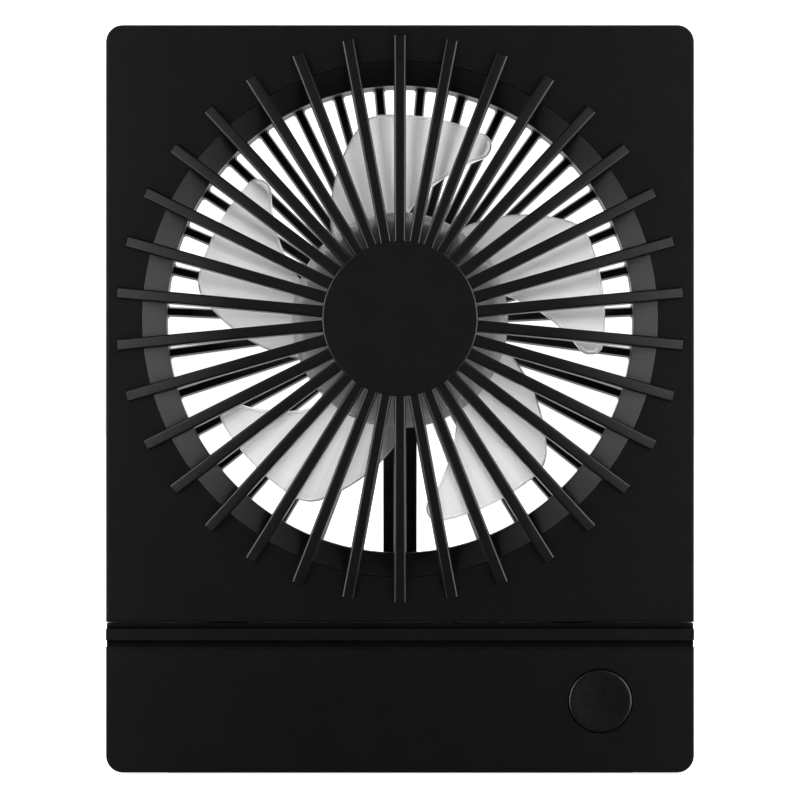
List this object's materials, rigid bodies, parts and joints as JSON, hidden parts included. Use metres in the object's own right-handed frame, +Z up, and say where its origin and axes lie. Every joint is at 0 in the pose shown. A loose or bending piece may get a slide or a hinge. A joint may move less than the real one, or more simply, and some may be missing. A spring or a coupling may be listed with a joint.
{
  "type": "desk fan",
  "caption": "Slim slab-shaped battery desk fan: tilting square head with a sunburst rib grille over swept translucent blades, hinged on a low base with a round push button.",
  "frame": {"origin": "on the desk under the middle of the bounding box at rest, with the head upright and the foot folded in", "axes": "+X to the right seen from the front, the front with the button faces -Y, +Z up"},
  "size_m": [0.146, 0.0306, 0.186],
  "materials": {
    "cover_black": "fine-grained moulded black plastic",
    "cover_black_back": "fine-grained moulded black plastic",
    "grille_black": "fine-grained moulded black plastic",
    "button_black": "satin black plastic",
    "blade_milky": "milky translucent plastic, satin",
    "screw_steel": "zinc-plated steel",
    "hinge_steel": "stamped steel",
    "shaft_steel": "ground steel",
    "yoke_steel": "drawn steel cup",
    "core_steel": "stacked steel laminations",
    "magnet": "bonded ferrite, matte",
    "brass": "turned brass",
    "copper_wire": "enamelled copper wire",
    "board_green": "glass-fibre board under green lacquer",
    "cable_black": "flexible cable jacket",
    "rubber_black": "matte rubber",
    "switch_black": "satin black plastic",
    "plunger_white": "natural nylon",
    "socket_steel": "nickel-plated steel shell",
    "battery_wrap": "aluminium laminate pouch",
    "foam": "adhesive foam"
  },
  "bodies": {
    "base": {"base_front_cover": "cover_black", "base_rear_cover": "cover_black_back", "base_screws": "screw_steel", "base_pad": "rubber_black", "hinge_bar": "cover_black", "bar_screws": "screw_steel", "hinge_pins": "shaft_steel", "friction_washers": "brass", "main_board": "board_green", "board_screws": "screw_steel", "push_switch": "switch_black", "charging_socket": "socket_steel", "battery": "battery_wrap", "battery_foam": "foam", "base_cable": "cable_black", "foot_pins": "shaft_steel"},
    "head": {"head_front_cover": "cover_black", "front_grille": "grille_black", "head_rear_cover": "cover_black_back", "air_duct": "grille_black", "rear_grille": "grille_black", "duct_cover": "grille_black", "head_screws": "screw_steel", "duct_screws": "screw_steel", "hinge_arms": "hinge_steel", "arm_screws": "screw_steel", "bearing_tube": "brass", "bearing_front": "shaft_steel", "bearing_rear": "shaft_steel", "stator_core": "core_steel", "stator_coils": "copper_wire", "motor_board": "board_green", "motor_cable": "cable_black"},
    "rotor": {"impeller_hub": "blade_milky", "impeller_blades": "blade_milky", "rotor_yoke": "yoke_steel", "rotor_magnet": "magnet", "hub_bush": "brass", "motor_shaft": "shaft_steel", "shaft_clip": "screw_steel"},
    "button": {"button_cap": "button_black", "switch_plunger": "plunger_white"},
    "foot": {"foot": "cover_black_back", "foot_pads": "rubber_black"}
  },
  "joints": [
    {"name": "head_tilt", "type": "hinge", "parent": "base", "child": "head", "pos_m": [0, 0.01225, 0.0347], "axis": [-1, 0, 0], "range_deg": [0, 40]},
    {"name": "rotor_spin", "type": "hinge", "parent": "head", "child": "rotor", "pos_m": [0, 0, 0.113], "axis": [0, 1, 0], "continuous": true},
    {"name": "button_press", "type": "slide", "parent": "base", "child": "button", "axis": [0, 1, 0], "range_m": [0, 0.0008], "stiffness_N_per_m": 1500},
    {"name": "foot_swing", "type": "hinge", "parent": "base", "child": "foot", "pos_m": [0, 0.01305, 0.0022], "axis": [-1, 0, 0], "range_deg": [0, 90]}
  ]
}
